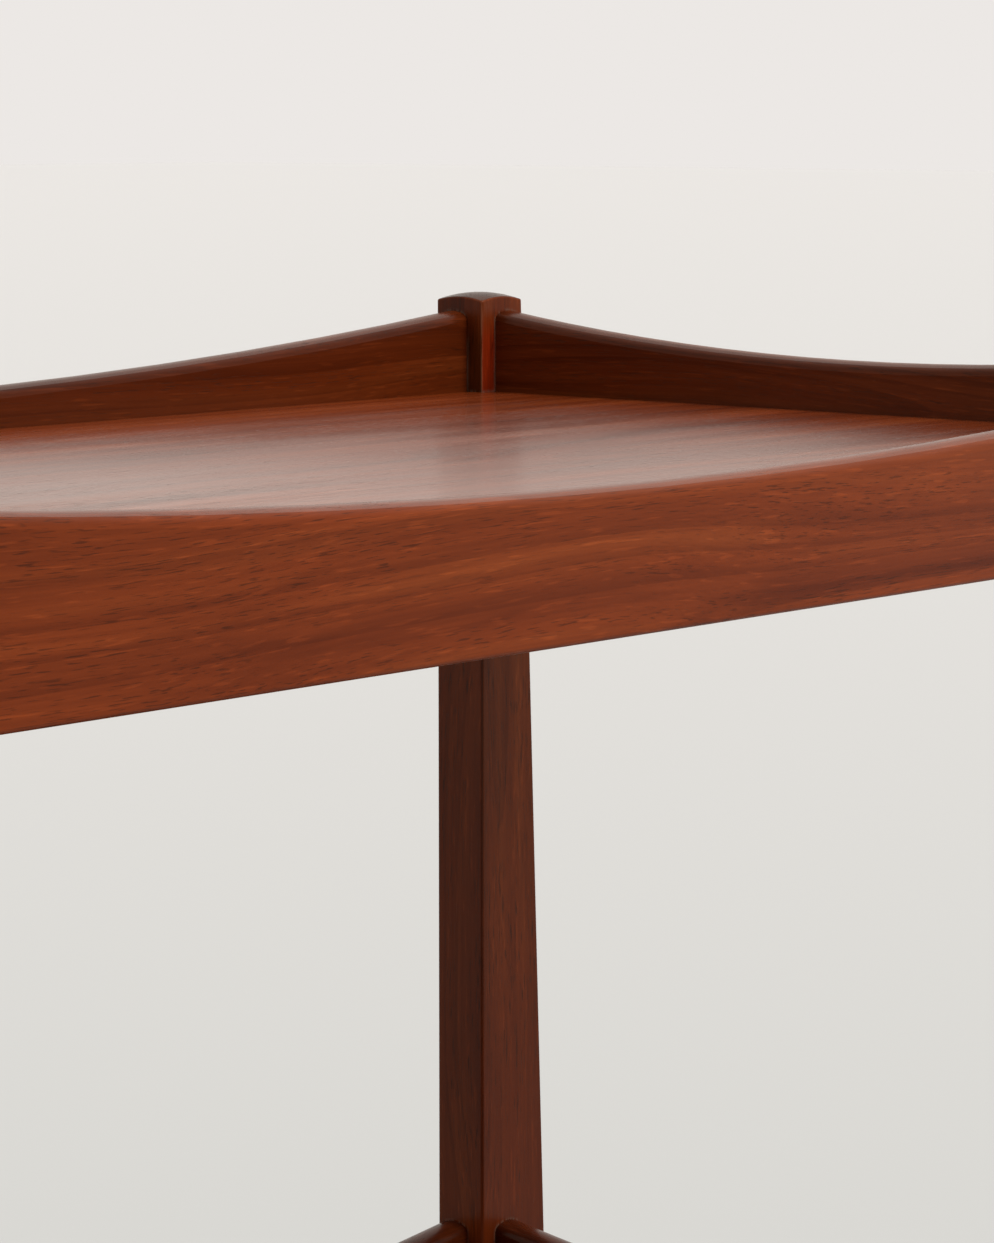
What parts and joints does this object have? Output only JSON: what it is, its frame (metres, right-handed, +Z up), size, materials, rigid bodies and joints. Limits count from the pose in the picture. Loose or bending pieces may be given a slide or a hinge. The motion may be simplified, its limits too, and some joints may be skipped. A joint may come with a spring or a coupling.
{
  "type": "serving trolley",
  "caption": "Two-tier wooden serving trolley with dished tray rails, flared square legs and rubber-tyred swivel castors in brass forks.",
  "frame": {"origin": "on the floor, under the middle of the trolley", "axes": "+X along the trays' length, +Y across them, +Z up"},
  "size_m": [0.845, 0.44, 0.642],
  "materials": {
    "solid_wood": "satin lacquer on reddish brown hardwood",
    "veneered_panel": "satin lacquer on reddish brown veneer",
    "brass": "polished, slightly dulled",
    "steel": "turned",
    "rubber": "matt"
  },
  "bodies": {
    "frame": {"leg_back_right": "solid_wood", "leg_back_left": "solid_wood", "leg_front_right": "solid_wood", "leg_front_left": "solid_wood", "upper_long_rail_back": "solid_wood", "upper_long_rail_front": "solid_wood", "upper_end_rail_right": "solid_wood", "upper_end_rail_left": "solid_wood", "lower_long_rail_back": "solid_wood", "lower_long_rail_front": "solid_wood", "lower_end_rail_right": "solid_wood", "lower_end_rail_left": "solid_wood", "upper_panel": "veneered_panel", "lower_panel": "veneered_panel", "castor_socket_back_right": "brass", "castor_socket_back_left": "brass", "castor_socket_front_right": "brass", "castor_socket_front_left": "brass"},
    "castor_back_right": {"castor_washer_back_right": "steel", "castor_stem_back_right": "steel", "castor_fork_back_right": "brass", "wheel_axle_back_right": "steel"},
    "wheel_back_right": {"wheel_hub_back_right": "brass", "wheel_tyre_back_right": "rubber"},
    "castor_back_left": {"castor_washer_back_left": "steel", "castor_stem_back_left": "steel", "castor_fork_back_left": "brass", "wheel_axle_back_left": "steel"},
    "wheel_back_left": {"wheel_hub_back_left": "brass", "wheel_tyre_back_left": "rubber"},
    "castor_front_right": {"castor_washer_front_right": "steel", "castor_stem_front_right": "steel", "castor_fork_front_right": "brass", "wheel_axle_front_right": "steel"},
    "wheel_front_right": {"wheel_hub_front_right": "brass", "wheel_tyre_front_right": "rubber"},
    "castor_front_left": {"castor_washer_front_left": "steel", "castor_stem_front_left": "steel", "castor_fork_front_left": "brass", "wheel_axle_front_left": "steel"},
    "wheel_front_left": {"wheel_hub_front_left": "brass", "wheel_tyre_front_left": "rubber"}
  },
  "joints": [
    {"name": "swivel_back_right", "type": "hinge", "parent": "frame", "child": "castor_back_right", "pos_m": [0.39825, 0.207, 0.06], "axis": [0, 0, 1], "continuous": true},
    {"name": "roll_back_right", "type": "hinge", "parent": "castor_back_right", "child": "wheel_back_right", "pos_m": [0.38225, 0.207, 0.024], "axis": [0, 1, 0], "continuous": true},
    {"name": "swivel_back_left", "type": "hinge", "parent": "frame", "child": "castor_back_left", "pos_m": [-0.39825, 0.207, 0.06], "axis": [0, 0, 1], "continuous": true},
    {"name": "roll_back_left", "type": "hinge", "parent": "castor_back_left", "child": "wheel_back_left", "pos_m": [-0.38225, 0.207, 0.024], "axis": [0, 1, 0], "continuous": true},
    {"name": "swivel_front_right", "type": "hinge", "parent": "frame", "child": "castor_front_right", "pos_m": [0.39825, -0.207, 0.06], "axis": [0, 0, 1], "continuous": true},
    {"name": "roll_front_right", "type": "hinge", "parent": "castor_front_right", "child": "wheel_front_right", "pos_m": [0.38225, -0.207, 0.024], "axis": [0, 1, 0], "continuous": true},
    {"name": "swivel_front_left", "type": "hinge", "parent": "frame", "child": "castor_front_left", "pos_m": [-0.39825, -0.207, 0.06], "axis": [0, 0, 1], "continuous": true},
    {"name": "roll_front_left", "type": "hinge", "parent": "castor_front_left", "child": "wheel_front_left", "pos_m": [-0.38225, -0.207, 0.024], "axis": [0, 1, 0], "continuous": true}
  ]
}
